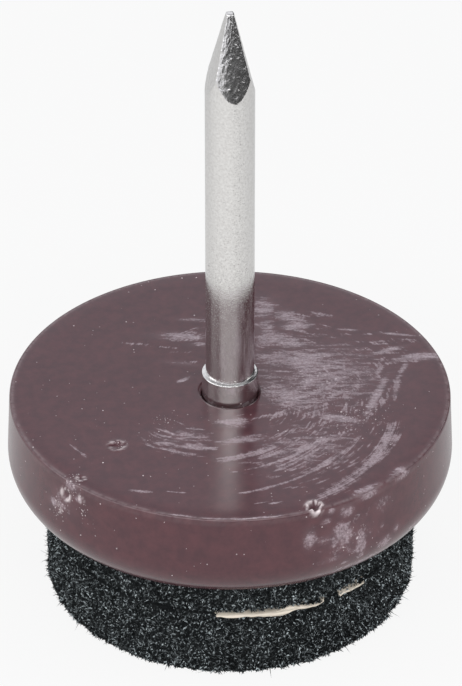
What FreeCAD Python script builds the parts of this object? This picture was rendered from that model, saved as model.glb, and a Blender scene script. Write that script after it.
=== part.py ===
import FreeCAD, Part
import math
import os

# Nail-on furniture glide, standing on its felt with the nail up, in millimetres.
# The origin is the centre of the felt's underside and +Z runs up the nail.

# Felt pad: two equal plies of needle felt with a glue film between them
felt_diameter = 18.4
felt_ply_thickness = 3.6
glue_film_thickness = 0.15
felt_floor_edge_round = 0.6

# Moulded base
base_diameter = 22.0
base_height = 5.0
felt_seat_depth = 1.8
felt_seat_clearance = 0.05
seat_rim_land = 0.15
lower_edge_round = 2.1
side_draft_deg = 2.6
top_edge_round = 0.15
bore_mouth_chamfer = 0.14

# Nail
wire_diameter = 2.4
nail_above_base = 21.5
shoulder_diameter = 2.76
shoulder_above_base = 1.2
shoulder_chamfer = 0.05
head_diameter = 6.0
head_thickness = 0.9
head_edge_chamfer = 0.12
nail_fit_clearance = 0.02
point_length = 4.3
point_tip_width = 0.36
point_facets = 4
point_turn_deg = 11.0

# Heights above the floor, from the pad upwards
film_bottom = felt_ply_thickness
upper_ply_bottom = film_bottom + glue_film_thickness
seat_ceiling = upper_ply_bottom + felt_ply_thickness
base_bottom = seat_ceiling - felt_seat_depth
base_top = base_bottom + base_height
head_top = seat_ceiling + head_thickness
shoulder_top = base_top + shoulder_above_base
nail_tip = base_top + nail_above_base

# Radii that several pieces share
felt_radius = felt_diameter / 2
seat_radius = felt_radius + felt_seat_clearance
base_radius = base_diameter / 2
shoulder_radius = shoulder_diameter / 2
head_radius = head_diameter / 2
wire_radius = wire_diameter / 2

origin = FreeCAD.Vector(0, 0, 0)
z_axis = FreeCAD.Vector(0, 0, 1)


def at(radius, height):
    return FreeCAD.Vector(radius, 0, height)


def lines(points):
    return [Part.makeLine(start, end) for start, end in zip(points, points[1:])]


def turned(outline):
    """The solid that a closed outline in the XZ plane sweeps in one turn about Z."""
    face = Part.Face(Part.Wire(outline))
    return face.revolve(origin, z_axis, 360)


def round_rims(solid, radius, height):
    """Rounds the outermost circular edge of a turned solid at one height."""
    rims = [
        edge
        for edge in solid.Edges
        if isinstance(edge.Curve, Part.Circle) and math.isclose(edge.Curve.Center.z, height, abs_tol=1e-6)
    ]
    outer = max(rims, key=lambda edge: edge.Curve.Radius)
    return solid.makeFillet(radius, [outer])


def felt_ply(bottom):
    return Part.makeCylinder(felt_radius, felt_ply_thickness, FreeCAD.Vector(0, 0, bottom))


def lower_felt_ply():
    """The ply that wears on the floor, with its die-cut lower edge rubbed round."""
    return round_rims(felt_ply(0), felt_floor_edge_round, 0)


def glue_film():
    return Part.makeCylinder(felt_radius, glue_film_thickness, FreeCAD.Vector(0, 0, film_bottom))


def glide_base():
    """A moulded disc: round lower edge, drafted side, felt seat, head counterbore and nail bore."""
    draft = math.radians(side_draft_deg)
    bore_radius = shoulder_radius + nail_fit_clearance
    counterbore_radius = head_radius + nail_fit_clearance

    # The lower arc starts at the rim's land, or where it turns flat on a base much wider than the felt,
    # and runs past its widest point until it is tangent to the drafted side
    arc_centre_radius = base_radius - lower_edge_round
    start_cosine = max(0.0, (seat_radius + seat_rim_land - arc_centre_radius) / lower_edge_round)
    start_angle = -math.acos(start_cosine)
    arc_centre = at(arc_centre_radius, base_bottom - lower_edge_round * math.sin(start_angle))

    def on_arc(angle):
        return arc_centre + at(math.cos(angle), math.sin(angle)) * lower_edge_round

    arc_start = on_arc(start_angle)
    arc_end = on_arc(draft)
    top_radius = arc_end.x - (base_top - arc_end.z) * math.tan(draft)
    lower_edge = Part.Arc(arc_start, on_arc((start_angle + draft) / 2), arc_end).toShape()

    upper_outline = [
        arc_end,
        at(top_radius, base_top),
        at(bore_radius + bore_mouth_chamfer, base_top),
        at(bore_radius, base_top - bore_mouth_chamfer),
        at(bore_radius, head_top),
        at(counterbore_radius, head_top),
        at(counterbore_radius, seat_ceiling),
        at(seat_radius, seat_ceiling),
        at(seat_radius, base_bottom),
        arc_start,
    ]
    return round_rims(turned([lower_edge] + lines(upper_outline)), top_edge_round, base_top)


def point_cutter(quarter):
    """A prism whose sloping face cuts one facet of the diamond point."""
    slope = (wire_radius - point_tip_width / 2) / point_length
    overrun = wire_diameter
    low = nail_tip - point_length - overrun
    high = nail_tip + overrun
    outside = wire_diameter * 2
    section = Part.makePolygon(
        [
            at(wire_radius + overrun * slope, low),
            at(point_tip_width / 2 - overrun * slope, high),
            at(outside, high),
            at(outside, low),
            at(wire_radius + overrun * slope, low),
        ]
    )
    prism = Part.Face(section).extrude(FreeCAD.Vector(0, outside * 2, 0))
    prism.translate(FreeCAD.Vector(0, -outside, 0))
    prism.rotate(origin, z_axis, point_turn_deg + quarter * 360 / point_facets)
    return prism


def nail():
    """One headed nail: flat head, shoulder gripped by the base, round shank and diamond point."""
    outline = [
        at(0, seat_ceiling),
        at(head_radius - head_edge_chamfer, seat_ceiling),
        at(head_radius, seat_ceiling + head_edge_chamfer),
        at(head_radius, head_top),
        at(shoulder_radius, head_top),
        at(shoulder_radius, shoulder_top - shoulder_chamfer),
        at(shoulder_radius - shoulder_chamfer, shoulder_top),
        at(wire_radius, shoulder_top),
        at(wire_radius, nail_tip),
        at(0, nail_tip),
        at(0, seat_ceiling),
    ]
    return turned(lines(outline)).cut([point_cutter(quarter) for quarter in range(point_facets)])


pieces = {
    "lower_felt_ply": lower_felt_ply(),
    "glue_film": glue_film(),
    "upper_felt_ply": felt_ply(upper_ply_bottom),
    "glide_base": glide_base(),
    "nail": nail(),
}

os.makedirs("parts", exist_ok=True)
for name, shape in pieces.items():
    shape.exportStep(f"parts/{name}.step")
    print(f"{name}: {len(shape.Solids)} solid, {shape.Volume:.2f} mm3, valid {shape.isValid()}")
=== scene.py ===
import math

import bpy
import numpy as np
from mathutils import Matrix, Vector, noise


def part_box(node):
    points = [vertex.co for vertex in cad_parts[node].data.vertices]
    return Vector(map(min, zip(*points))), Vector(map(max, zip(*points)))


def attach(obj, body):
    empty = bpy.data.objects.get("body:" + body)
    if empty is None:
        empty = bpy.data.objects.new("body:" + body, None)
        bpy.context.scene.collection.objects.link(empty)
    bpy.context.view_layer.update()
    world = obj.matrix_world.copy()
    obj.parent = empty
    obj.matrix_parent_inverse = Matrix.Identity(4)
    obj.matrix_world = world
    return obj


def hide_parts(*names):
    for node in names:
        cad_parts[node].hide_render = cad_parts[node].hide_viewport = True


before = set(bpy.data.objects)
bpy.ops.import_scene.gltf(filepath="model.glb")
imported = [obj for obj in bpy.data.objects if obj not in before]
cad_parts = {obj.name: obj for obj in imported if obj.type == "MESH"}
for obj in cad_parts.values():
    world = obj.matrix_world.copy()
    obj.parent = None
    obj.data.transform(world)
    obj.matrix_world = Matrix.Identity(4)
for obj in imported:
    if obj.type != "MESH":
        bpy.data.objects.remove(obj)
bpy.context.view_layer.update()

# Nail-on felt glide: bright zinc nail, scuffed brown plastic disc, two plies of charcoal felt.
# Lengths in the dictionaries are millimetres. Angles are degrees from the front (-Y) towards +X.
mm = 0.001
feltSeed = 41
markSeed = 7
scene = bpy.context.scene


def linear(hexColour):
    parts = [int(hexColour[i:i + 2], 16) / 255 for i in (1, 3, 5)]
    return [c / 12.92 if c <= 0.04045 else ((c + 0.055) / 1.055) ** 2.4 for c in parts] + [1.0]


def addNode(tree, kind, settings=None, inputs=None):
    node = tree.nodes.new(kind)
    for name, value in (settings or {}).items():
        setattr(node, name, value)
    for name, value in (inputs or {}).items():
        if isinstance(value, bpy.types.NodeSocket):
            tree.links.new(value, node.inputs[name])
        else:
            node.inputs[name].default_value = value
    return node


def newMaterial(name):
    material = bpy.data.materials.new(name)
    material.use_nodes = True
    tree = material.node_tree
    return material, tree, tree.nodes["Principled BSDF"]


def nodeBox(name):
    low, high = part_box(name)
    return [c / mm for c in low], [c / mm for c in high]


# Outlines are (radius, height) runs, turned about Z

def spaced(points, step):
    run = [points[0]]
    for a, b in zip(points, points[1:]):
        count = max(1, math.ceil(math.dist(a, b) / step))
        run += [(a[0] + (b[0] - a[0]) * i / count, a[1] + (b[1] - a[1]) * i / count) for i in range(1, count + 1)]
    return run


def arc(centre, radius, fromDeg, toDeg, step):
    count = max(2, math.ceil(abs(math.radians(toDeg - fromDeg)) * radius / step))
    turns = [math.radians(fromDeg + (toDeg - fromDeg) * i / count) for i in range(count + 1)]
    return [(centre[0] + radius * math.cos(t), centre[1] + radius * math.sin(t)) for t in turns]


def meshPiece(name, points, faces, material):
    mesh = bpy.data.meshes.new(name)
    mesh.from_pydata((np.asarray(points) * mm).tolist(), [], faces)
    mesh.validate()
    mesh.shade_smooth()
    mesh.materials.append(material)
    piece = bpy.data.objects.new(name, mesh)
    scene.collection.objects.link(piece)
    return piece


def lathe(outline, segments, closed, startTurn=0.0):
    # rings of points, and quads between them; a run that isn't closed ends on the axis at both ends
    turns = math.radians(startTurn) + np.arange(segments) * 2 * math.pi / segments
    rings = outline if closed else outline[1:-1]
    radii = np.array([r for r, _ in rings])[:, None]
    heights = np.array([z for _, z in rings])[:, None]
    points = np.stack([radii * np.sin(turns), -radii * np.cos(turns), heights + 0 * turns], -1).reshape(-1, 3)
    here = np.arange(segments)
    beside = (here + 1) % segments
    faces = []
    for i in range(len(rings) if closed else len(rings) - 1):
        low = i * segments
        high = ((i + 1) % len(rings)) * segments
        faces += np.stack([low + here, low + beside, high + beside, high + here], -1).tolist()
    if not closed:
        first, last = len(points), len(points) + 1
        points = np.vstack([points, [(0, 0, outline[0][1]), (0, 0, outline[-1][1])]])
        top = (len(rings) - 1) * segments
        faces += [(first, int(b), int(a)) for a, b in zip(here, beside)]
        faces += [(last, int(top + a), int(top + b)) for a, b in zip(here, beside)]
    return points, faces


def polar(points):
    radius = np.hypot(points[:, 0], points[:, 1])
    angle = np.degrees(np.arctan2(points[:, 0], -points[:, 1]))
    return radius, angle


def setAttribute(piece, name, values):
    layer = piece.data.attributes.new(name, "FLOAT", "POINT")
    layer.data.foreach_set("value", np.clip(values, 0, 1).astype(np.float32))


# Camera first: the photograph looks down 34 degrees from the front

cameraView = {
    "elevation": 33.97,
    "distance": 255.0,
    "aim": (0.05, 0.0, 13.385),
    "frameHeight": 33.57,  # what the picture's height takes in at the aim
    "sensor": 36.0,
}


def makeCamera(spec):
    lens = bpy.data.cameras.new("glideCamera")
    lens.sensor_width = spec["sensor"]
    lens.lens = spec["sensor"] * spec["distance"] / spec["frameHeight"]
    lens.clip_start, lens.clip_end = 0.01, 10
    camera = bpy.data.objects.new("glideCamera", lens)
    scene.collection.objects.link(camera)
    tilt = math.radians(spec["elevation"])
    back = Vector((0, -math.cos(tilt), math.sin(tilt)))
    camera.location = (Vector(spec["aim"]) + back * spec["distance"]) * mm
    camera.rotation_euler = (math.pi / 2 - tilt, 0, 0)
    scene.camera = camera


makeCamera(cameraView)
print("camera set")


# Base: moulded disc, replacing glide_base with a fine mesh that can carry nicks and rub marks

baseSpec = {
    "segments": 640,
    "topStep": 0.115,
    "sideStep": 0.15,
    "edgeStep": 0.03,
    "mouthStep": 0.05,
    "hiddenStep": 1.2,
    "draftDeg": 2.6,
    "topEdgeRound": 0.15,
    "edgeRoll": (9.8, 0.045),  # outside this radius the top sinks, by this much at the edge
    "lowerRound": 2.1,
    "rimLand": 0.15,
    "seatRadius": 9.25,
    "seatCeiling": 7.35,
    "headBore": (3.02, 8.25),  # radius, top
    "nailBore": 1.40,
    "boreMouth": 0.14,
    "sideFade": 0.66,  # the side was pressed less than the top
    "edgeWear": (0.13, 0.26, 0.1),  # the rubbed top edge: paleness, how far in it lies, its reach
    "raggedness": 6.0,  # waves a millimetre in the outlines of the nicks
    "nickLip": (1.15, 0.3),  # where a nick's lip stands and how broad it is, in shares of the nick's reach
}

# Rub strokes that circle the nail: from angle, to angle, from radius, to radius, half width, strength
rubArcsAndEdgeHighlight = [
    (20, 74, 10.05, 8.3, 0.33, 1.0),
    (30, 60, 9.75, 8.75, 0.12, 0.9),
    (48, 68, 9.4, 9.0, 0.10, 0.75),
    (9, 56, 5.7, 6.3, 0.30, 0.75),
    (8, 44, 6.6, 6.1, 0.11, 0.8),
    (16, 60, 7.85, 7.5, 0.15, 0.65),
    (24, 52, 8.3, 7.9, 0.09, 0.6),
    (5, 42, 8.55, 7.7, 0.10, 0.6),
    (-10, 30, 6.05, 5.1, 0.24, 0.9),
    (-28, -5, 5.2, 5.0, 0.22, 0.9),
    (-43, -35, 5.2, 4.9, 0.13, 0.9),
    (-39, -29, 5.6, 5.2, 0.12, 0.8),
    (-33, -27, 5.9, 5.6, 0.10, 0.6),
    (-33, -20, 3.7, 3.6, 0.14, 1.0),
    (-36, -9, 4.4, 4.1, 0.28, 0.5),
    (-31, -22, 9.75, 9.2, 0.09, 0.6),
    (-21, -13, 9.1, 8.9, 0.09, 0.6),
    (1, 19, 8.75, 8.3, 0.09, 0.7),
    # not a rub: a painted highlight, a pale line along the top edge at the front
    (-18, 16, 10.71, 10.73, 0.06, 0.8),
]

# Dull smears on the top: x, y, half length, half width, turn, strength
rubSmears = [
    (3.0, -0.4, 2.2, 1.3, -38, 0.7),
    (3.5, 2.6, 2.3, 0.9, -14, 0.85),
    (4.2, 3.1, 1.6, 0.24, 2, 0.95),
    (4.0, 0.9, 0.9, 0.36, 18, 0.95),
    (3.8, -0.2, 1.1, 0.22, -3, 0.9),
    (5.3, -2.4, 1.1, 0.4, -16, 0.9),
    (2.7, 4.4, 1.4, 0.7, -25, 0.8),
    (3.0, 6.4, 1.2, 0.6, -40, 0.7),
    (1.7, 7.3, 0.7, 1.0, 0, 0.75),
    (1.8, 5.2, 0.7, 1.7, 0, 0.6),
    (3.2, 5.7, 0.9, 0.4, 0, 0.9),
    (5.9, 5.4, 0.5, 0.11, -7, 0.9),
    (8.3, 5.0, 0.9, 0.11, -8, 0.9),
    (7.7, 3.5, 1.1, 0.2, 24, 0.9),
    (9.4, 3.0, 1.3, 0.36, 8, 0.95),
    (8.6, 2.0, 0.7, 0.17, 70, 0.9),
    (7.4, 1.8, 0.6, 0.17, 70, 0.9),
    (8.2, 0.4, 1.0, 0.17, 83, 0.9),
    (7.2, -0.4, 2.0, 0.25, 72, 0.95),
    (5.2, -0.3, 1.1, 0.15, 45, 0.9),
    (-2.4, 4.8, 1.3, 0.34, -3, 0.9),
    (-1.8, 6.3, 0.8, 0.17, -3, 0.6),
    (-1.5, 4.1, 0.6, 0.2, 0, 0.6),
    (-2.4, 2.4, 0.9, 0.2, -10, 0.5),
    (4.6, 1.4, 3.6, 3.2, 0, 0.58),
    (0.2, -2.7, 0.8, 0.5, 0, 0.85),
    (0.7, -4.2, 1.2, 0.35, 8, 0.8),
    (3.6, -4.6, 3.6, 2.2, 40, 0.42),
    (-2.4, -4.0, 1.6, 0.9, 0, 0.4),
    (-2.25, 1.0, 0.38, 0.12, 40, 1.0),
    (6.5, -8.3, 0.75, 0.2, 38, 0.95),
    (8.1, -6.8, 0.55, 0.24, 50, 0.95),
]

# Fields of fine strokes laid at random: x, y, half length, half width, turn, how many,
# then the strokes' own turn, 0 being across the front and None following the nail round
strokeFields = [
    (4.2, -4.9, 3.8, 2.6, 45, 130, None),
    (3.6, -1.0, 2.4, 1.9, -35, 90, 30),
    (3.4, 4.2, 2.4, 2.6, -40, 80, -8),
    (7.6, 3.4, 2.4, 1.6, 0, 26, -2),
    (6.6, -0.2, 1.6, 2.2, 0, 34, 66),
    (-2.6, -4.4, 2.0, 1.0, 0, 34, None),
    (-2.2, 4.6, 1.4, 1.6, 0, 20, -3),
    (0, 0, 10.0, 10.0, 0, 8, None),
]
strokeSize = {"length": (0.5, 2.2), "halfWidth": (0.05, 0.09), "strength": (0.35, 0.85)}

# Bruises on the side: angle, height, half width, half height, strength
sideBruises = [
    (38, 10.4, 0.70, 0.22, 0.9),
    (50, 10.4, 0.50, 0.18, 0.9),
    (31, 9.95, 0.46, 0.36, 0.85),
    (26.5, 10.25, 0.20, 0.18, 0.9),
    (25, 9.75, 0.28, 0.18, 0.8),
    (20.5, 9.0, 0.34, 0.6, 0.75),
    (29.5, 8.7, 0.75, 0.65, 0.9),
    (35, 7.9, 0.38, 0.9, 0.9),
    (25, 8.7, 0.5, 0.3, 0.7),
    (27, 7.5, 0.8, 0.25, 0.6),
    (47, 7.65, 0.24, 0.22, 0.9),
    (43, 7.15, 0.50, 0.40, 0.9),
    (30.5, 7.0, 0.24, 0.13, 1.0),
    (42, 8.3, 0.13, 0.12, 0.9),
    (27, 8.3, 0.30, 0.15, 0.8),
    (32, 8.3, 1.7, 1.5, 0.42),
    (42, 9.5, 0.9, 0.7, 0.3),
    (36, 6.45, 2.4, 0.3, 0.8),
    (54, 6.9, 0.90, 0.22, 0.6),
    (-48, 9.2, 0.80, 0.60, 0.4),
    (-44.5, 10.3, 0.42, 0.24, 0.9),
    (-51, 8.75, 0.36, 0.26, 0.9),
    (-47.5, 8.9, 0.30, 0.18, 0.85),
    (-42, 9.8, 0.24, 0.16, 0.8),
]

# Gritty patches on the edge and top: angle, radius, height, reach, strength
gritPatches = [
    (-45, 10.6, 10.3, 0.9, 1.0),
    (-49, 10.9, 8.6, 1.0, 1.0),
    (-40, 10.9, 9.3, 0.8, 0.8),
    (-51, 4.0, 10.5, 1.0, 0.9),
    (-49, 7.0, 10.5, 0.6, 0.9),
    (-42, 5.6, 10.5, 0.8, 0.7),
    (-20, 2.7, 10.5, 0.9, 0.6),
    (70, 6.6, 10.5, 2.6, 0.8),
    (100, 4.5, 10.5, 2.8, 0.75),
    (45, 6.5, 10.5, 2.4, 0.6),
    (33, 10.8, 8.2, 2.0, 0.7),
]

# Nicks pressed into the plastic: angle, radius, height, reach, depth, lip, paleness of the lip
nicks = [
    (22.5, 10.5, 10.5, 0.34, 0.18, 0.06, 1.0),
    (-49.5, 7.2, 10.55, 0.34, 0.09, 0.03, 0.5),
    (-44, 10.3, 10.5, 0.20, 0.06, 0.03, 0.7),
    (-46.5, 10.9, 9.65, 0.28, 0.12, 0.04, 0.8),
    (-41, 10.75, 9.9, 0.20, 0.06, 0.03, 0.6),
    (-49, 10.9, 8.6, 0.18, 0.05, 0.03, 0.6),
]


def baseOutline(spec):
    low, high = nodeBox("glide_base")
    bottom, top, radius = low[2], high[2], high[0]
    step, far = spec["sideStep"], spec["hiddenStep"]
    draft, edge, lower = spec["draftDeg"], spec["topEdgeRound"], spec["lowerRound"]
    landRadius = spec["seatRadius"] + spec["rimLand"]
    landTurn = -math.degrees(math.acos((landRadius - radius + lower) / lower))
    centre = (radius - lower, bottom - lower * math.sin(math.radians(landTurn)))
    side = arc(centre, lower, landTurn, draft, step)
    shoulder = side[-1][0] - (top - side[-1][1]) * math.tan(math.radians(draft))
    edgeCentre = (shoulder - edge, top - edge)
    bore, mouth = spec["nailBore"], spec["boreMouth"]
    headRadius, headTop = spec["headBore"]
    wall = arc(edgeCentre, edge, draft, 90, spec["edgeStep"])
    outline = side + spaced([side[-1], wall[0]], step)[1:] + wall[1:]
    outline += spaced([wall[-1], (bore + mouth, top)], spec["topStep"])[1:]
    outline += spaced([(bore + mouth, top), (bore, top - mouth)], spec["mouthStep"])[1:]
    hidden = [(bore, top - mouth), (bore, headTop), (headRadius, headTop), (headRadius, spec["seatCeiling"])]
    hidden += [(spec["seatRadius"], spec["seatCeiling"]), (spec["seatRadius"], bottom)]
    return outline + spaced(hidden, far)[1:]


def onBase(angle, radius, height):
    turn = math.radians(angle)
    return np.array([radius * math.sin(turn), -radius * math.cos(turn), height])


# rub strokes as amounts; the last row of the table paints a highlight along the front top edge
def rubAndEdgeHighlightAmount(radius, angle):
    total = np.zeros(len(radius))
    for start, end, fromRadius, toRadius, width, strength in rubArcsAndEdgeHighlight:
        along = (angle - start) / (end - start)
        off = radius - (fromRadius + (toRadius - fromRadius) * np.clip(along, 0, 1))
        taper = np.clip(np.minimum(along, 1 - along) * 6, 0, 1)
        total = np.maximum(total, strength * taper * np.exp(-(off / width) ** 2))
    return total


def strokeAmount(points, size, rng):
    total = np.zeros(len(points))
    for x, y, fieldLength, fieldWidth, fieldTurn, count, turn in strokeFields:
        c, s = math.cos(math.radians(fieldTurn)), math.sin(math.radians(fieldTurn))
        for _ in range(count):
            u, v = rng.normal(0, 0.5, 2) * (fieldLength, fieldWidth)
            middle = np.array([x + u * c - v * s, y + u * s + v * c])
            lie = math.degrees(math.atan2(middle[1], middle[0])) + 84 if turn is None else turn
            lie = math.radians(lie + rng.normal(0, 6))
            half = rng.uniform(*size["length"]) / 2
            width, strength = rng.uniform(*size["halfWidth"]), rng.uniform(*size["strength"])
            near = np.flatnonzero(np.abs(points[:, :2] - middle).max(1) < half + 0.3)
            dx, dy = (points[near, :2] - middle).T
            along = np.abs(dx * math.cos(lie) + dy * math.sin(lie)) / half
            off = (dy * math.cos(lie) - dx * math.sin(lie)) / width
            total[near] = np.maximum(total[near], strength * np.clip(1.2 - along, 0, 1) * np.exp(-off ** 2))
    return total


def smearAmount(points):
    total = np.zeros(len(points))
    for x, y, length, width, turn, strength in rubSmears:
        c, s = math.cos(math.radians(turn)), math.sin(math.radians(turn))
        dx, dy = points[:, 0] - x, points[:, 1] - y
        reach = ((dx * c + dy * s) / length) ** 2 + ((dy * c - dx * s) / width) ** 2
        total = np.maximum(total, strength * np.exp(-reach))
    return total


def bruiseAmount(points, radius, angle):
    total = np.zeros(len(points))
    for centre, height, width, tall, strength in sideBruises:
        across = np.radians(angle - centre) * radius
        reach = (across / width) ** 2 + ((points[:, 2] - height) / tall) ** 2
        total = np.maximum(total, strength * np.exp(-reach))
    return total


def makeBase(spec, material):
    high = nodeBox("glide_base")[1]
    points, faces = lathe(baseOutline(spec), spec["segments"], True)
    radius, angle = polar(points)
    onTop = points[:, 2] > high[2] - 0.02
    rollFrom, rollDrop = spec["edgeRoll"]
    points[:, 2] -= onTop * rollDrop * np.clip((radius - rollFrom) / (high[0] - rollFrom), 0, 1) ** 2
    piece = meshPiece("glideBase", points, faces, material)
    normals = np.zeros(len(points) * 3, np.float32)
    piece.data.vertex_normals.foreach_get("vector", normals)
    normals = normals.reshape(-1, 3)
    ragged = np.array([noise.noise(Vector(p) * spec["raggedness"]) for p in points])
    moved = points.copy()
    wear, wearInset, wearReach = spec["edgeWear"]
    onEdge = np.exp(-((radius - high[0] + wearInset) / wearReach) ** 2) * (points[:, 2] > high[2] - 0.3)
    rims = wear * onEdge * np.clip(0.7 + 0.8 * ragged, 0, 1)
    lipAt, lipWidth = spec["nickLip"]
    for centreAngle, centreRadius, height, reach, depth, lip, pale in nicks:
        away = np.linalg.norm(points - onBase(centreAngle, centreRadius, height), axis=1)
        away = away / reach * (1 + 0.3 * ragged)
        moved -= normals * (depth * np.clip(1 - away ** 2, 0, 1))[:, None]
        raised = np.exp(-((away - lipAt) / lipWidth) ** 2)
        moved += normals * (lip * raised * (0.6 + ragged))[:, None]
        rims = np.maximum(rims, pale * raised * np.clip(0.4 + 2.0 * ragged, 0, 1))
    piece.data.vertices.foreach_set("co", (moved * mm).astype(np.float32).ravel())
    piece.data.update()
    grit = np.zeros(len(points))
    for centreAngle, centreRadius, height, reach, strength in gritPatches:
        away = np.linalg.norm(points - onBase(centreAngle, centreRadius, height), axis=1) / reach
        grit = np.maximum(grit, strength * np.exp(-away ** 2))
    strokes = strokeAmount(points, strokeSize, np.random.default_rng(markSeed))
    # this attribute carries the rubs and the painted highlight along the front top edge
    setAttribute(piece, "rubAndEdgeHighlight", np.maximum(rubAndEdgeHighlightAmount(radius, angle), strokes) * onTop)
    setAttribute(piece, "smear", np.where(onTop, smearAmount(points), bruiseAmount(points, radius, angle)))
    setAttribute(piece, "pressure", np.where(onTop, 1, spec["sideFade"]))
    setAttribute(piece, "grit", grit)
    setAttribute(piece, "nickRim", rims)
    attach(piece, "root")
    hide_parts("glide_base")
    return piece


# Polypropylene, gloss moulded: a nearly even skin with a clear soft reflection. Rubbing bruises it pale and dull,
# in fine lines where something was wiped round the nail and in grey patches where it was pressed.
# a pale line along the front of the top edge is a painted highlight, drawn with the rub marks
basePlastic = {
    "colour": "#43272D",
    "swirl": "#502E33",  # pigment not quite even in the melt
    "bruiseAndEdgeHighlight": "#B8AAB0",
    "chip": "#E8DCDC",
    "ior": 1.49,
    "roughness": (0.22, 0.5),
    "lineSpacing": 0.09,  # drawn a little coarser than real hairlines, to show
    "lineLength": 3.2,
    "spiral": 1.4,  # the strokes draw in towards the nail by this much a radian
    "lineLevel": (1.4, 0.68),  # what the line noise has to pass to show, unrubbed and rubbed hardest
    "patchLevel": (0.85, 0.25),  # the same for the pressed patches and for the grit
    "gritLevel": (0.85, 0.6),
    "speckSpacing": 0.34,
    "speckSize": 0.022,
    "speckShare": 0.32,  # of the cells hold a speck of dust
    "gritSize": 0.11,
    "wipeAndHighlightDepth": 0.56,  # how far the rubbed lines, the painted edge highlight and the pressed patches go towards the bruise colour
    "smearDepth": 0.82,
    "haze": 0.13,  # faint even bloom wherever the skin was pressed
    "waviness": 2.2,
}


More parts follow.
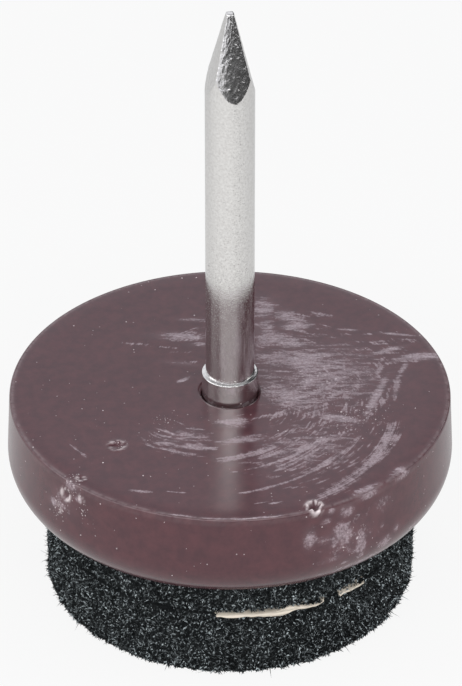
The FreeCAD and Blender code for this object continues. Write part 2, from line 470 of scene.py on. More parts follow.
def makeBasePlastic(spec):
    material, tree, shader = newMaterial("mouldedPolypropylene")
    place = addNode(tree, "ShaderNodeTexCoord").outputs["Object"]
    inMm = addNode(tree, "ShaderNodeVectorMath", {"operation": "SCALE"}, {0: place, "Scale": 1 / mm}).outputs[0]
    flat = addNode(tree, "ShaderNodeVectorMath", {"operation": "MULTIPLY"}, {0: inMm, 1: (1, 1, 0)}).outputs[0]
    radius = addNode(tree, "ShaderNodeVectorMath", {"operation": "LENGTH"}, {0: flat}).outputs["Value"]
    axes = addNode(tree, "ShaderNodeSeparateXYZ", None, {0: inMm})
    ahead = addNode(tree, "ShaderNodeMath", {"operation": "MULTIPLY"}, {0: axes.outputs["Y"], 1: -1.0}).outputs[0]
    turn = addNode(tree, "ShaderNodeMath", {"operation": "ARCTAN2"}, {0: axes.outputs["X"], 1: ahead}).outputs[0]
    rubAndEdgeHighlight, smear, pressure, grit, rim = [
        addNode(tree, "ShaderNodeAttribute", {"attribute_name": name}).outputs["Fac"]
        for name in ("rubAndEdgeHighlight", "smear", "pressure", "grit", "nickRim")]

    # lines round the nail: long along the turn, close together across it, broken here and there
    typicalRadius = 6.0
    along = addNode(tree, "ShaderNodeMath", {"operation": "MULTIPLY"},
                    {0: turn, 1: typicalRadius / spec["lineLength"]}).outputs[0]
    drawnIn = addNode(tree, "ShaderNodeMath", {"operation": "MULTIPLY_ADD"},
                      {0: turn, 1: spec["spiral"], 2: radius}).outputs[0]
    across = addNode(tree, "ShaderNodeMath", {"operation": "DIVIDE"}, {0: drawnIn, 1: spec["lineSpacing"]}).outputs[0]
    rings = addNode(tree, "ShaderNodeCombineXYZ", None, {"X": along, "Y": across}).outputs[0]
    lines = addNode(tree, "ShaderNodeTexNoise", None,
                    {"Vector": rings, "Scale": 0.55, "Detail": 1.5, "Roughness": 0.6})
    breaks = addNode(tree, "ShaderNodeTexNoise", None,
                     {"Vector": inMm, "Scale": 1.6, "Detail": 4.0, "Roughness": 0.7})
    both = addNode(tree, "ShaderNodeMath", {"operation": "ADD"},
                   {0: lines.outputs["Fac"], 1: breaks.outputs["Fac"]}).outputs[0]
    # the heavier the rub or the stronger the painted edge highlight, the more of the lines show
    rubbedAndHighlit = addNode(tree, "ShaderNodeMath", {"operation": "SQRT"}, {0: rubAndEdgeHighlight}).outputs[0]
    unrubbed, hardest = spec["lineLevel"]
    lineLevel = addNode(tree, "ShaderNodeMapRange", None,
                        {"Value": rubbedAndHighlit, "To Min": unrubbed, "To Max": hardest}).outputs[0]
    overLine = addNode(tree, "ShaderNodeMath", {"operation": "SUBTRACT"}, {0: both, 1: lineLevel}).outputs[0]
    wipedAndHighlit = addNode(tree, "ShaderNodeMapRange", None,
                    {"Value": overLine, "From Max": 0.3, "To Max": spec["wipeAndHighlightDepth"]}).outputs[0]

    # patches pressed dull: broken plates with fine streaks across the front
    broad = addNode(tree, "ShaderNodeVectorMath", {"operation": "MULTIPLY"}, {0: inMm, 1: (0.9, 2.8, 1.8)}).outputs[0]
    cloud = addNode(tree, "ShaderNodeTexNoise", None,
                    {"Vector": broad, "Scale": 1.0, "Detail": 5.0, "Roughness": 0.7})
    fine = addNode(tree, "ShaderNodeVectorMath", {"operation": "MULTIPLY"}, {0: inMm, 1: (1.6, 11.0, 5.0)}).outputs[0]
    streaks = addNode(tree, "ShaderNodeTexNoise", None,
                      {"Vector": fine, "Scale": 1.0, "Detail": 3.0, "Roughness": 0.65})
    pressed = addNode(tree, "ShaderNodeMath", {"operation": "SQRT"}, {0: smear}).outputs[0]
    unpressed, hardest = spec["patchLevel"]
    cloudLevel = addNode(tree, "ShaderNodeMapRange", None,
                         {"Value": pressed, "To Min": unpressed, "To Max": hardest}).outputs[0]
    overCloud = addNode(tree, "ShaderNodeMath", {"operation": "SUBTRACT"},
                        {0: cloud.outputs["Fac"], 1: cloudLevel}).outputs[0]
    plates = addNode(tree, "ShaderNodeMapRange", None, {"Value": overCloud, "From Max": 0.16}).outputs[0]
    streakMask = addNode(tree, "ShaderNodeMapRange", None,
                         {"Value": streaks.outputs["Fac"], "From Min": 0.34, "From Max": 0.7,
                          "To Min": 0.12, "To Max": spec["smearDepth"]}).outputs[0]
    smeared = addNode(tree, "ShaderNodeMath", {"operation": "MULTIPLY"}, {0: plates, 1: streakMask}).outputs[0]
    smeared = addNode(tree, "ShaderNodeMath", {"operation": "MULTIPLY"}, {0: smeared, 1: pressure}).outputs[0]

    # dust: a dot in some of the cells
    cells = addNode(tree, "ShaderNodeTexVoronoi", None, {"Vector": inMm, "Scale": 1 / spec["speckSpacing"]})
    chance = addNode(tree, "ShaderNodeSeparateColor", None, {0: cells.outputs["Color"]})
    chosen = addNode(tree, "ShaderNodeMath", {"operation": "GREATER_THAN"},
                     {0: chance.outputs["Red"], 1: 1 - spec["speckShare"]}).outputs[0]
    dotSize = spec["speckSize"] / spec["speckSpacing"]
    reach = addNode(tree, "ShaderNodeMapRange", None,
                    {"Value": chance.outputs["Green"], "To Min": 0.6 * dotSize, "To Max": 1.9 * dotSize}).outputs[0]
    near = addNode(tree, "ShaderNodeMath", {"operation": "LESS_THAN"},
                   {0: cells.outputs["Distance"], 1: reach}).outputs[0]
    pale = addNode(tree, "ShaderNodeMapRange", None,
                   {"Value": chance.outputs["Blue"], "To Min": 0.2, "To Max": 0.85}).outputs[0]
    picked = addNode(tree, "ShaderNodeMath", {"operation": "MULTIPLY"}, {0: chosen, 1: near}).outputs[0]
    dust = addNode(tree, "ShaderNodeMath", {"operation": "MULTIPLY"}, {0: picked, 1: pale}).outputs[0]

    # grit: ragged crumbs pressed into the skin, more of them the grittier it is
    crumbs = addNode(tree, "ShaderNodeTexNoise", None,
                     {"Vector": inMm, "Scale": 1 / spec["gritSize"], "Detail": 1.0, "Roughness": 0.6})
    clean, grittiest = spec["gritLevel"]
    level = addNode(tree, "ShaderNodeMapRange", None,
                    {"Value": grit, "To Min": clean, "To Max": grittiest}).outputs[0]
    above = addNode(tree, "ShaderNodeMath", {"operation": "SUBTRACT"},
                    {0: crumbs.outputs["Fac"], 1: level}).outputs[0]
    gritty = addNode(tree, "ShaderNodeMapRange", None, {"Value": above, "From Max": 0.05, "To Max": 0.6}).outputs[0]

    # rubbed marks and the painted edge highlight are broken by the same grain
    grain = addNode(tree, "ShaderNodeMapRange", None,
                    {"Value": crumbs.outputs["Fac"], "From Min": 0.4, "From Max": 0.6,
                     "To Min": 0.5, "To Max": 1.15}).outputs[0]
    worn = addNode(tree, "ShaderNodeMath", {"operation": "MAXIMUM"}, {0: wipedAndHighlit, 1: smeared}).outputs[0]
    worn = addNode(tree, "ShaderNodeMath", {"operation": "MULTIPLY"}, {0: worn, 1: grain}).outputs[0]
    worn = addNode(tree, "ShaderNodeMath", {"operation": "MULTIPLY_ADD"},
                   {0: smear, 1: spec["haze"], 2: worn}).outputs[0]

    # colour: swirled skin, then rubbed skin and the painted edge highlight over it, then chips and dust
    melt = addNode(tree, "ShaderNodeMapRange", None,
                   {"Value": breaks.outputs["Fac"], "From Min": 0.35, "From Max": 0.65}).outputs[0]
    skin = addNode(tree, "ShaderNodeMix", {"data_type": "RGBA"},
                   {"Factor": melt, 6: linear(spec["colour"]), 7: linear(spec["swirl"])}).outputs[2]
    tint = addNode(tree, "ShaderNodeMix", {"data_type": "RGBA"},
                   {"Factor": worn, 6: skin, 7: linear(spec["bruiseAndEdgeHighlight"])}).outputs[2]
    chipped = rim
    for mark in (dust, gritty):
        chipped = addNode(tree, "ShaderNodeMath", {"operation": "MAXIMUM"}, {0: chipped, 1: mark}).outputs[0]
    tint = addNode(tree, "ShaderNodeMix", {"data_type": "RGBA"},
                   {"Factor": chipped, 6: tint, 7: linear(spec["chip"])}).outputs[2]
    worn = addNode(tree, "ShaderNodeMath", {"operation": "MAXIMUM"}, {0: worn, 1: chipped}).outputs[0]

    # what is worn is duller and stands a little proud
    gloss, dull = spec["roughness"]
    rough = addNode(tree, "ShaderNodeMapRange", None, {"Value": worn, "To Min": gloss, "To Max": dull}).outputs[0]
    waves = addNode(tree, "ShaderNodeTexNoise", None, {"Vector": inMm, "Scale": 1 / spec["waviness"], "Detail": 1.0})
    relief = addNode(tree, "ShaderNodeMath", {"operation": "MULTIPLY_ADD"},
                     {0: worn, 1: 0.3, 2: waves.outputs["Fac"]}).outputs[0]
    bump = addNode(tree, "ShaderNodeBump", None,
                   {"Height": relief, "Strength": 0.15, "Distance": 0.05 * mm}).outputs[0]
    shader.inputs["IOR"].default_value = spec["ior"]
    tree.links.new(tint, shader.inputs["Base Color"])
    tree.links.new(rough, shader.inputs["Roughness"])
    tree.links.new(bump, shader.inputs["Normal"])
    return material


glideBase = makeBase(baseSpec, makeBasePlastic(basePlastic))
print("base made:", len(glideBase.data.polygons), "faces")


# Felt: two die-cut discs of needle felt, each a rough body under a coat of real fibres

feltSpec = {
    "segments": 560,
    "sideStep": 0.1,
    "faceStep": 0.4,
    "floorRound": 0.25,  # the nap fills out the solid's rounder edge
    "bodyInset": 0.14,  # the coat of fibres makes up the rest of the radius
    "roughness": ((0.22, 0.08), (0.6, 0.07), (2.4, 0.06)),  # lump size, height
}
fibreSpec = {
    "length": (0.07, 0.18),
    "width": (0.07, 0.13),  # drawn about four times as thick as real staple, to show
    "tone": (0.061, 1.7),  # middle tone, spread
    "hairShare": 0.035,
    "hair": (2.6, 0.5),  # stray hairs: how much longer, how much thinner
    "tufts": (0.6, 0.34, 0.12),  # pulled out of the lower edge: up to this height, size, how rare
    "tuftLength": (1.4, 2.3),  # how much longer than the nap
    "standOff": (5, 65),  # lean away from the felt
    "lower": 46000,
    "upper": 26000,
}
seamOpening = {
    "height": 3.675,
    "runs": ((-6, 32.0), (34, 48.0)),  # the plies gape over these angles
    "ease": 2.0,
    "reach": 0.16,  # how far above and below the seam the felt is drawn
    "pullIn": 0.14,
    "draw": (0.9, 1.4),  # how far the plies close where they are bonded, and open where they gape
    "cleared": (0.96, 0.55),  # share of the fibres kept off the glue, on each run
    "lip": [  # the glue that shows: angle, thickness, height of its middle
        (-6, 0.05, 3.50), (-3, 0.12, 3.53), (3, 0.15, 3.55), (9, 0.16, 3.51), (14, 0.27, 3.47),
        (17, 0.38, 3.53), (19, 0.30, 3.60), (22, 0.17, 3.56), (24, 0.08, 3.50), (29, 0.06, 3.47),
        (30, 0.16, 3.58), (32, 0.17, 3.62), (35, 0.05, 3.47), (37, 0.11, 3.55), (40, 0.12, 3.53),
        (44, 0.11, 3.51), (48, 0.05, 3.46),
    ],
}


def lumps(points, layers, seed):
    total = np.zeros(len(points))
    for size, height in layers:
        shift = Vector((seed * 3.1, seed * 1.7, seed * 0.9))
        total += height * np.array([noise.noise(Vector(p) / size + shift) for p in points])
    return total


def seamGap(angle):
    # 1 where the plies gape and the glue line shows, easing to 0 at the ends
    gap = np.zeros(len(angle))
    for start, end in seamOpening["runs"]:
        gap = np.maximum(gap, np.clip(np.minimum(angle - start, end - angle) / seamOpening["ease"], 0, 1))
    return gap


def seamLip(angle):
    turns, thicknesses, heights = np.array(seamOpening["lip"]).T
    return np.interp(angle, turns, thicknesses), np.interp(angle, turns, heights)


def makeFelt(name, node, floorEdge, spec, material, seed):
    low, high = nodeBox(node)
    bottom, top, radius = low[2], high[2], high[0] - spec["bodyInset"]
    step, face = spec["sideStep"], spec["faceStep"]
    outline = spaced([(0, bottom), (radius - floorEdge, bottom)], face)
    outline += arc((radius - floorEdge, bottom + floorEdge), floorEdge, -90, 0, step)[1:]
    outline += spaced([(radius, bottom + floorEdge), (radius, top)], step)[1:]
    outline += spaced([(radius, top), (0, top)], face)[1:]
    points, faces = lathe(outline, spec["segments"], False)
    around, angle = polar(points)
    outward = points * (1, 1, 0) / np.maximum(around, 0.01)[:, None]
    onSide = np.clip((around - radius + floorEdge + 0.3) / 0.3, 0, 1)
    rough = lumps(points, spec["roughness"], seed)
    gap = seamGap(angle)
    toSeam = seamOpening["height"] - points[:, 2]
    nearSeam = np.exp(-(toSeam / seamOpening["reach"]) ** 2)
    closing, opening = seamOpening["draw"]
    points += outward * (onSide * (rough - seamOpening["pullIn"] * gap * nearSeam))[:, None]
    points[:, 2] += onSide * toSeam * nearSeam * (closing - opening * gap)
    onFloor = (points[:, 2] < bottom + 0.02) & (floorEdge > 0)
    points[:, 2] += onFloor * np.clip(rough * 0.4 + 0.02, 0, None)
    piece = meshPiece(name, points, faces, material)
    # painted shade and light: the body's tone is darker in the hollows of its lumps and paler on their crests
    setAttribute(piece, "tone", 0.01 + 0.1 * rough)
    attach(piece, "root")
    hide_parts(node)
    return piece


def makeFibres(name, count, bottom, top, radius, floorEdge, spec, material, bodySeed, seed):
    rng = np.random.default_rng(seed)
    angle = rng.uniform(-180, 180, count)
    height = rng.uniform(bottom, top, count)
    thickness, middle = seamLip(angle)
    overGlue = seamGap(angle) * (np.abs(height - middle) < thickness / 2 + 0.02)
    firstRun, secondRun = seamOpening["cleared"]
    betweenRuns = (seamOpening["runs"][0][1] + seamOpening["runs"][1][0]) / 2
    clear = rng.uniform(0, 1, count) > overGlue * np.where(angle > betweenRuns, secondRun, firstRun)
    angle, height = angle[clear], height[clear]
    count = len(angle)
    turn = np.radians(angle)
    rise = np.clip((floorEdge - height + bottom) / max(floorEdge, 0.01), 0, 1)
    reach = radius - floorEdge * (1 - np.sqrt(1 - rise ** 2))
    outward = np.stack([np.sin(turn), -np.cos(turn), -0.8 * rise], -1)
    outward /= np.linalg.norm(outward, axis=1)[:, None]
    sideways = np.stack([np.cos(turn), np.sin(turn), 0 * turn], -1)
    upward = np.cross(sideways, outward)
    skin = np.stack([reach * np.sin(turn), -reach * np.cos(turn), height], -1)
    lump = lumps(skin, feltSpec["roughness"], bodySeed)
    root = skin + outward * (lump - 0.03)[:, None]
    lie = rng.uniform(0, 2 * math.pi, count)
    lean = np.radians(rng.uniform(*spec["standOff"], count))
    aim = (sideways * np.cos(lie)[:, None] + upward * np.sin(lie)[:, None]) * np.cos(lean)[:, None]
    aim += outward * np.sin(lean)[:, None]
    hair = rng.uniform(0, 1, count) < spec["hairShare"]
    length = rng.uniform(*spec["length"], count) * np.where(hair, spec["hair"][0], 1)
    width = rng.uniform(*spec["width"], count) * np.where(hair, spec["hair"][1], 1)
    tuftTop, tuftSize, rare = spec["tufts"]
    clump = np.array([noise.noise(Vector(p) / tuftSize) for p in skin])
    tuft = (height < bottom + tuftTop) & (clump > rare) & (floorEdge > 0)
    length *= np.where(tuft, rng.uniform(*spec["tuftLength"], count), 1)
    first = np.cross(aim, outward + 0.01)
    first /= np.linalg.norm(first, axis=1)[:, None]
    second = np.cross(aim, first)
    corners = []
    for k in range(3):
        swing = 2 * math.pi * k / 3
        corners.append(root + (first * math.cos(swing) + second * math.sin(swing)) * (width / 2)[:, None])
    points = np.stack(corners + [root + aim * length[:, None]], 1)
    points[:, :, 2] = np.maximum(points[:, :, 2], 0.02)
    shape = [(0, 2, 1), (0, 1, 3), (1, 2, 3), (2, 0, 3)]
    faces = [tuple(4 * i + c for c in face) for i in range(count) for face in shape]
    piece = meshPiece(name, points.reshape(-1, 3), faces, material)
    piece.data.shade_flat()
    middleTone, spread = spec["tone"]
    # painted shade and light: on top of its random tone, a fibre rooted in a hollow is darker and one on a lump paler
    tone = middleTone * np.exp(rng.normal(0, spread, count)) * np.clip(1 + 5 * lump, 0.3, 2)
    setAttribute(piece, "tone", np.repeat(tone, 4))
    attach(piece, "root")
    return piece


# Needle felt of black and grey polyester: matte and dark between the fibres, with pale ends catching light
needleFelt = {
    "dark": "#050708",
    "pale": "#BCC6C8",
    "roughness": 0.7,
    "shine": 0.06,
    "grain": 0.06,
}


def makeNeedleFelt(spec):
    material, tree, shader = newMaterial("needleFelt")
    place = addNode(tree, "ShaderNodeTexCoord").outputs["Object"]
    grain = addNode(tree, "ShaderNodeTexNoise", None,
                    {"Vector": place, "Scale": 1 / (spec["grain"] * mm), "Detail": 2.0, "Roughness": 0.6})
    tone = addNode(tree, "ShaderNodeAttribute", {"attribute_name": "tone"}).outputs["Fac"]
    worn = addNode(tree, "ShaderNodeMapRange", None,
                   {"Value": grain.outputs["Fac"], "From Min": 0.35, "From Max": 0.65,
                    "To Min": 0.3, "To Max": 1.3}).outputs[0]
    mixed = addNode(tree, "ShaderNodeMath", {"operation": "MULTIPLY", "use_clamp": True},
                    {0: tone, 1: worn}).outputs[0]
    tint = addNode(tree, "ShaderNodeMix", {"data_type": "RGBA"},
                   {"Factor": mixed, 6: linear(spec["dark"]), 7: linear(spec["pale"])}).outputs[2]
    tree.links.new(tint, shader.inputs["Base Color"])
    shader.inputs["Roughness"].default_value = spec["roughness"]
    shader.inputs["Specular IOR Level"].default_value = spec["shine"]
    return material


felt = makeNeedleFelt(needleFelt)
lowerLow, lowerHigh = nodeBox("lower_felt_ply")
upperLow, upperHigh = nodeBox("upper_felt_ply")
baseBottom = nodeBox("glide_base")[0][2]
lowerFelt = makeFelt("lowerFelt", "lower_felt_ply", feltSpec["floorRound"], feltSpec, felt, 1)
upperFelt = makeFelt("upperFelt", "upper_felt_ply", 0, feltSpec, felt, 2)
fibreRadius = lowerHigh[0] - feltSpec["bodyInset"]
makeFibres("lowerFeltFibres", fibreSpec["lower"], lowerLow[2], lowerHigh[2], fibreRadius, feltSpec["floorRound"],
           fibreSpec, felt, 1, feltSeed)
makeFibres("upperFeltFibres", fibreSpec["upper"], upperLow[2], baseBottom + 0.1, fibreRadius, 0,
           fibreSpec, felt, 2, feltSeed + 1)
print("felt made:", fibreSpec["lower"] + fibreSpec["upper"], "fibres")


# Glue film between the plies: a thin disc, drawn out to a pale lip where the plies gape at the front right

filmSpec = {
    "segments": 720,
    "rings": (4.0, 8.6, 8.8, 8.97),
    "rim": 9.0,  # as turned, before the rim is drawn in or out
    "rimRound": (0.012, 0.03),
    "hiddenRadius": 8.6,
    "lipRadius": 9.16,
    "lipStart": (8.3, 0.4),  # the film follows the gape from this radius, easing in over this width
    "ragged": (0.06, 0.04),  # the lip's reach and its thickness
}


def makeFilm(spec, material):
    low, high = nodeBox("glue_film")
    middle, thin = (low[2] + high[2]) / 2, high[2] - low[2]
    still, turnedRim = spec["rings"][0], spec["rim"]
    outline = [(0, low[2])] + [(r, low[2]) for r in spec["rings"]]
    outline += [(turnedRim, low[2] + rise) for rise in spec["rimRound"]]
    outline += [(r, low[2] + high[2] - z) for r, z in reversed(outline)]
    points, faces = lathe(outline, spec["segments"], False)
    around, angle = polar(points)
    gap = seamGap(angle)
    ragged = np.array([noise.noise(Vector((a * 0.45, 7.0, z * 4))) for a, z in zip(angle, points[:, 2])])
    rim = np.clip((around - still) / (turnedRim - still), 0, 1)
    raggedReach, raggedThickness = spec["ragged"]
    outer = spec["hiddenRadius"] + gap * (spec["lipRadius"] - spec["hiddenRadius"]) + raggedReach * ragged * gap
    outward = points * (1, 1, 0) / np.maximum(around, 0.01)[:, None]
    points += outward * (rim * (outer - turnedRim))[:, None]
    thickness, height = seamLip(angle)
    lip = thickness + raggedThickness * ragged
    lipFrom, lipEase = spec["lipStart"]
    nearRim = gap * np.clip((around - lipFrom) / lipEase, 0, 1)
    centre = middle + nearRim * (height - middle)
    points[:, 2] = centre + (points[:, 2] - middle) * (1 + nearRim * (lip / thin - 1))
    piece = meshPiece("glueFilm", points, faces, material)
    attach(piece, "root")
    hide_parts("glue_film")
    return piece


# Hot-melt adhesive film: waxy cream, drawn out in streaks along the seam with felt rubbed into them
hotMelt = {"colour": "#D6CCBC", "soiled": "#6E6658", "roughness": 0.45, "streak": (1.4, 0.07)}


def makeHotMelt(spec):
    material, tree, shader = newMaterial("hotMeltFilm")
    place = addNode(tree, "ShaderNodeTexCoord").outputs["Object"]
    long, thin = spec["streak"]
    drawn = (1 / (long * mm), 1 / (long * mm), 1 / (thin * mm))
    pulled = addNode(tree, "ShaderNodeVectorMath", {"operation": "MULTIPLY"}, {0: place, 1: drawn}).outputs[0]
    dirt = addNode(tree, "ShaderNodeTexNoise", None, {"Vector": pulled, "Scale": 1.0, "Detail": 3.0})
    share = addNode(tree, "ShaderNodeMapRange", None,
                    {"Value": dirt.outputs["Fac"], "From Min": 0.48, "From Max": 0.75}).outputs[0]
    tint = addNode(tree, "ShaderNodeMix", {"data_type": "RGBA"},
                   {"Factor": share, 6: linear(spec["colour"]), 7: linear(spec["soiled"])}).outputs[2]
    tree.links.new(tint, shader.inputs["Base Color"])
    shader.inputs["Roughness"].default_value = spec["roughness"]
    return material


makeFilm(filmSpec, makeHotMelt(hotMelt))
print("glue film made")


# Nail: headed wire with a thicker shoulder and a diamond point sheared on four sides, replacing nail

nailSpec = {
    "segments": 192,
    "wireRadius": 1.2,
    "shoulderRadius": 1.38,
    "shoulderTop": 11.75,
    "shoulderEdge": 0.04,
    "shoulderCone": 0.025,  # rise of the shoulder's top towards the wire
    "headTop": 8.25,
    "pointLength": 4.3,
    "tipWidth": 0.36,
    "pointTurn": 11.0,
    "bulge": 0.11,  # the sheared facets are a little convex across
    "tornGrain": ((0.24, 0.012), (0.1, 0.004)),  # grain size, depth, on the sheared facets
    "pointStep": 0.04,
}


def makeNail(spec, material):
    low, high = nodeBox("nail")
    bottom, tip, head = low[2], high[2], high[0]
    wire, shoulder, edge = spec["wireRadius"], spec["shoulderRadius"], spec["shoulderEdge"]
    shoulderTop, cone = spec["shoulderTop"] - spec["shoulderCone"] / 2, spec["shoulderCone"]
    pointFoot = tip - spec["pointLength"] - 0.5
    outline = spaced([(0, bottom), (head, bottom), (head, spec["headTop"]), (shoulder, spec["headTop"])], 1.0)
    outline += spaced([(shoulder, spec["headTop"]), (shoulder, shoulderTop - edge - 0.03)], 0.8)[1:]
    outline += [(shoulder, shoulderTop - edge), (shoulder - edge * 0.3, shoulderTop - edge * 0.3)]
    outline += [(shoulder - edge, shoulderTop), (shoulder - edge - 0.02, shoulderTop + cone * 0.2)]
    outline += [(wire + 0.02, shoulderTop + cone * 0.85), (wire + 0.005, shoulderTop + cone)]
    outline += [(wire, shoulderTop + cone + 0.01)]
    outline += spaced([(wire, shoulderTop + 0.1), (wire, pointFoot)], 0.6)
    outline += spaced([(wire, pointFoot), (wire, tip)], spec["pointStep"])[1:] + [(wire * 0.5, tip), (0, tip)]
    points, faces = lathe(outline, spec["segments"], False, spec["pointTurn"])
    radius, angle = polar(points)
    half = spec["tipWidth"] / 2
    slope = (wire - half) / spec["pointLength"]
    off = np.radians((angle - spec["pointTurn"] + 45) % 90 - 45)
    plane = half + (tip - points[:, 2]) * slope
    facet = plane * (1 - spec["bulge"] * np.tan(off) ** 2) / np.cos(off)
    # inside the tip's end face the same share of the radius is kept
    limit = np.where(points[:, 2] > tip - 1e-6, facet * np.minimum(radius / wire, 1), facet)
    sheared = (limit < radius) & (points[:, 2] > pointFoot)
    torn = lumps(points, spec["tornGrain"], 5)
    new = np.where(sheared, np.minimum(limit + np.minimum(torn, 0.012), radius), radius)
    points[:, :2] *= (new / np.maximum(radius, 1e-6))[:, None]
    piece = meshPiece("nailWire", points, faces, material)
    setAttribute(piece, "sheared", sheared.astype(float))
    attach(piece, "root")
    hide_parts("nail")
    return piece


# Bright zinc-plated wire: clear grey metal with the fine grain of tumbling and faint draw lines along the
# shank, so it mirrors what lies in front of it as soft upright streaks; the sheared facets are rougher.
zincPlate = {
    "colour": "#E4E3E1",
    "dull": "#D2D0CE",
    "roughness": (0.1, 0.2),
    "grain": 0.06,  # coarser than real plating, to show
    "grainDepth": 0.02,
    "tear": 0.13,
    "tearDepth": 0.015,
    "drawLine": 0.16,
    "drawLength": 12.0,
}


def makeZincPlate(spec):
    material, tree, shader = newMaterial("zincPlatedSteel")
    place = addNode(tree, "ShaderNodeTexCoord").outputs["Object"]
    sheared = addNode(tree, "ShaderNodeAttribute", {"attribute_name": "sheared"}).outputs["Fac"]
    grain = addNode(tree, "ShaderNodeTexNoise", None,
                    {"Vector": place, "Scale": 1 / (spec["grain"] * mm), "Detail": 2.0, "Roughness": 0.7})
    drawn = (1 / (spec["drawLine"] * mm), 1 / (spec["drawLine"] * mm), 1 / (spec["drawLength"] * mm))
    pulled = addNode(tree, "ShaderNodeVectorMath", {"operation": "MULTIPLY"}, {0: place, 1: drawn}).outputs[0]
    lines = addNode(tree, "ShaderNodeTexNoise", None, {"Vector": pulled, "Scale": 1.0, "Detail": 2.0})
    specks = addNode(tree, "ShaderNodeMapRange", None,
                     {"Value": grain.outputs["Fac"], "From Min": 0.6, "From Max": 0.88}).outputs[0]
    plain = addNode(tree, "ShaderNodeMath", {"operation": "SUBTRACT"}, {0: 1.0, 1: sheared}).outputs[0]
    relief = addNode(tree, "ShaderNodeMath", {"operation": "MULTIPLY_ADD"},
                     {0: lines.outputs["Fac"], 1: 0.5, 2: specks}).outputs[0]
    relief = addNode(tree, "ShaderNodeMath", {"operation": "MULTIPLY_ADD"},
                     {0: grain.outputs["Fac"], 1: 0.35, 2: relief}).outputs[0]
    relief = addNode(tree, "ShaderNodeMath", {"operation": "MULTIPLY"}, {0: relief, 1: plain}).outputs[0]
    worked = addNode(tree, "ShaderNodeBump", None,
                     {"Height": relief, "Strength": 0.4, "Distance": spec["grainDepth"] * mm}).outputs[0]
    tears = addNode(tree, "ShaderNodeTexNoise", None,
                    {"Vector": place, "Scale": 1 / (spec["tear"] * mm), "Detail": 2.0, "Roughness": 0.6})
    torn = addNode(tree, "ShaderNodeMath", {"operation": "MULTIPLY"},
                   {0: tears.outputs["Fac"], 1: sheared}).outputs[0]
    bump = addNode(tree, "ShaderNodeBump", None,
                   {"Height": torn, "Strength": 1.0, "Distance": spec["tearDepth"] * mm,
                    "Normal": worked}).outputs[0]
    smooth, rough = spec["roughness"]
    gloss = addNode(tree, "ShaderNodeMapRange", None,
                    {"Value": sheared, "To Min": smooth, "To Max": rough}).outputs[0]
    dulled = addNode(tree, "ShaderNodeMapRange", None,
                     {"Value": tears.outputs["Fac"], "From Min": 0.3, "From Max": 0.75}).outputs[0]
    tint = addNode(tree, "ShaderNodeMix", {"data_type": "RGBA"},
                   {"Factor": dulled, 6: linear(spec["colour"]), 7: linear(spec["dull"])}).outputs[2]
    shader.inputs["Metallic"].default_value = 1.0
    tree.links.new(tint, shader.inputs["Base Color"])
    tree.links.new(gloss, shader.inputs["Roughness"])
    tree.links.new(bump, shader.inputs["Normal"])
    return material


nailWire = makeNail(nailSpec, makeZincPlate(zincPlate))
print("nail made:", len(nailWire.data.polygons), "faces")


# Stage: pale floor, white surround that dims overhead, three soft boxes, and dark cards that only reflections see

stageSpec = {
    "floorRadius": 300.0,
    "floorColour": "#C8C8C6",
    "floorLift": 0.88,  # share of plain white that the eye and the metal see in the floor
    # in reflections the floor dims away from a spot: x, y, from this far, to this far, by how much
    "floorPool": (-10.0, -30.0, 15.0, 70.0, 0.58),
    "sky": (1.05, 0.6),  # round the horizon, overhead
    "skyBreak": (36.0, 45.0),
    "skyColour": "#F8F9FF",
    "boxes": [  # turn from the front, elevation, distance, width, height, brightness
        (-4.0, 37.5, 122.0, 250.0, 22.0, 5.9),
        (-80.0, 22.0, 320.0, 200.0, 160.0, 2.2),
        (82.0, 20.0, 320.0, 160.0, 140.0, 3.2),
    ],
    "cards": [  # turn from the front, distance, width, bottom, top
        (40.0, 60.0, 90.0, 0.0, 38.0),
        (92.0, 160.0, 230.0, 40.0, 190.0),
        (143.0, 120.0, 90.0, 0.0, 220.0),
    ],
    "cardColour": "#0C0D0E",
}


def makeFloor(spec):
    paper, tree, shader = newMaterial("palePaper")
    shader.inputs["Base Color"].default_value = linear(spec["floorColour"])
    shader.inputs["Roughness"].default_value = 0.9
    shader.inputs["Specular IOR Level"].default_value = 0.0
    path = addNode(tree, "ShaderNodeLightPath")
    place = addNode(tree, "ShaderNodeTexCoord").outputs["Object"]
    x, y, start, end, fall = spec["floorPool"]
    away = addNode(tree, "ShaderNodeVectorMath", {"operation": "DISTANCE"},
                   {0: place, 1: (x * mm, y * mm, 0)}).outputs["Value"]
    dimmed = addNode(tree, "ShaderNodeMapRange", None,
                     {"Value": away, "From Min": start * mm, "From Max": end * mm,
                      "To Min": spec["floorLift"], "To Max": spec["floorLift"] - fall}).outputs[0]
    mirrored = addNode(tree, "ShaderNodeMath", {"operation": "MULTIPLY"},
                       {0: path.outputs["Is Glossy Ray"], 1: dimmed}).outputs[0]
    seen = addNode(tree, "ShaderNodeMath", {"operation": "MAXIMUM"},
                   {0: path.outputs["Is Camera Ray"], 1: path.outputs["Is Transmission Ray"]}).outputs[0]
    share = addNode(tree, "ShaderNodeMath", {"operation": "MULTIPLY_ADD"},
                    {0: seen, 1: spec["floorLift"], 2: mirrored}).outputs[0]
    white = addNode(tree, "ShaderNodeEmission", None, {"Color": linear("#FFFFFF"), "Strength": 1.0}).outputs[0]
    lifted = addNode(tree, "ShaderNodeMixShader", None, {0: share, 1: shader.outputs[0], 2: white}).outputs[0]
    tree.links.new(lifted, tree.nodes["Material Output"].inputs["Surface"])
    outline = [(0, -1.0), (spec["floorRadius"], -1.0), (spec["floorRadius"], -0.02), (0, -0.02)]
    points, faces = lathe(outline, 96, False)
    floor = meshPiece("studioFloor", points, faces, paper)
    floor.data.shade_flat()


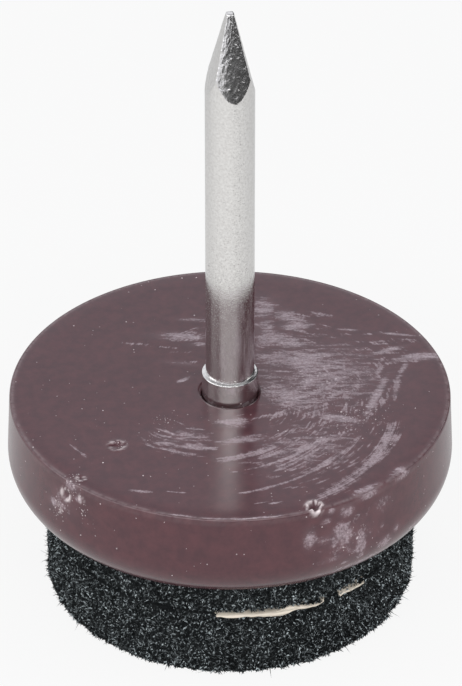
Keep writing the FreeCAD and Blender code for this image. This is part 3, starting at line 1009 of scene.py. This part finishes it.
def makeLights(spec):
    for i, (turn, elevation, distance, width, height, brightness) in enumerate(spec["boxes"]):
        lamp = bpy.data.lights.new(f"softBox{i}", "AREA")
        lamp.shape = "RECTANGLE"
        lamp.size, lamp.size_y = width * mm, height * mm
        lamp.energy = brightness * math.pi * width * height * mm * mm
        box = bpy.data.objects.new(f"softBox{i}", lamp)
        tilt, swing = math.radians(elevation), math.radians(turn)
        away = Vector((math.cos(tilt) * math.sin(swing), -math.cos(tilt) * math.cos(swing), math.sin(tilt)))
        box.location = away * distance * mm
        box.rotation_euler = away.to_track_quat("Z", "Y").to_euler()
        box.visible_camera = False
        scene.collection.objects.link(box)

    blackCard, _, shader = newMaterial("blackCard")
    shader.inputs["Base Color"].default_value = linear(spec["cardColour"])
    for i, (turn, distance, width, bottom, top) in enumerate(spec["cards"]):
        swing = math.radians(turn)
        ahead = np.array([math.sin(swing), -math.cos(swing), 0])
        aside = np.array([math.cos(swing), math.sin(swing), 0]) * width / 2
        corners = [ahead * distance + aside * s + np.array([0, 0, h])
                   for s, h in ((-1, bottom), (1, bottom), (1, top), (-1, top))]
        card = meshPiece(f"darkCard{i}", corners, [(0, 1, 2, 3)], blackCard)
        card.visible_camera = card.visible_diffuse = card.visible_shadow = False


def makeSurround(spec):
    world = bpy.data.worlds.new("studioSurround")
    scene.world = world
    world.use_nodes = True
    sky = world.node_tree
    aim = addNode(sky, "ShaderNodeTexCoord").outputs["Generated"]
    up = addNode(sky, "ShaderNodeSeparateXYZ", None, {0: aim}).outputs["Z"]
    low, high = spec["sky"]
    start, end = [math.sin(math.radians(a)) for a in spec["skyBreak"]]
    level = addNode(sky, "ShaderNodeMapRange", {"interpolation_type": "SMOOTHSTEP"},
                    {"Value": up, "From Min": start, "From Max": end, "To Min": low, "To Max": high}).outputs[0]
    sky.links.new(level, sky.nodes["Background"].inputs["Strength"])
    sky.nodes["Background"].inputs["Color"].default_value = linear(spec["skyColour"])


makeFloor(stageSpec)
makeLights(stageSpec)
makeSurround(stageSpec)
scene.view_settings.view_transform = "Standard"
print("stage set")
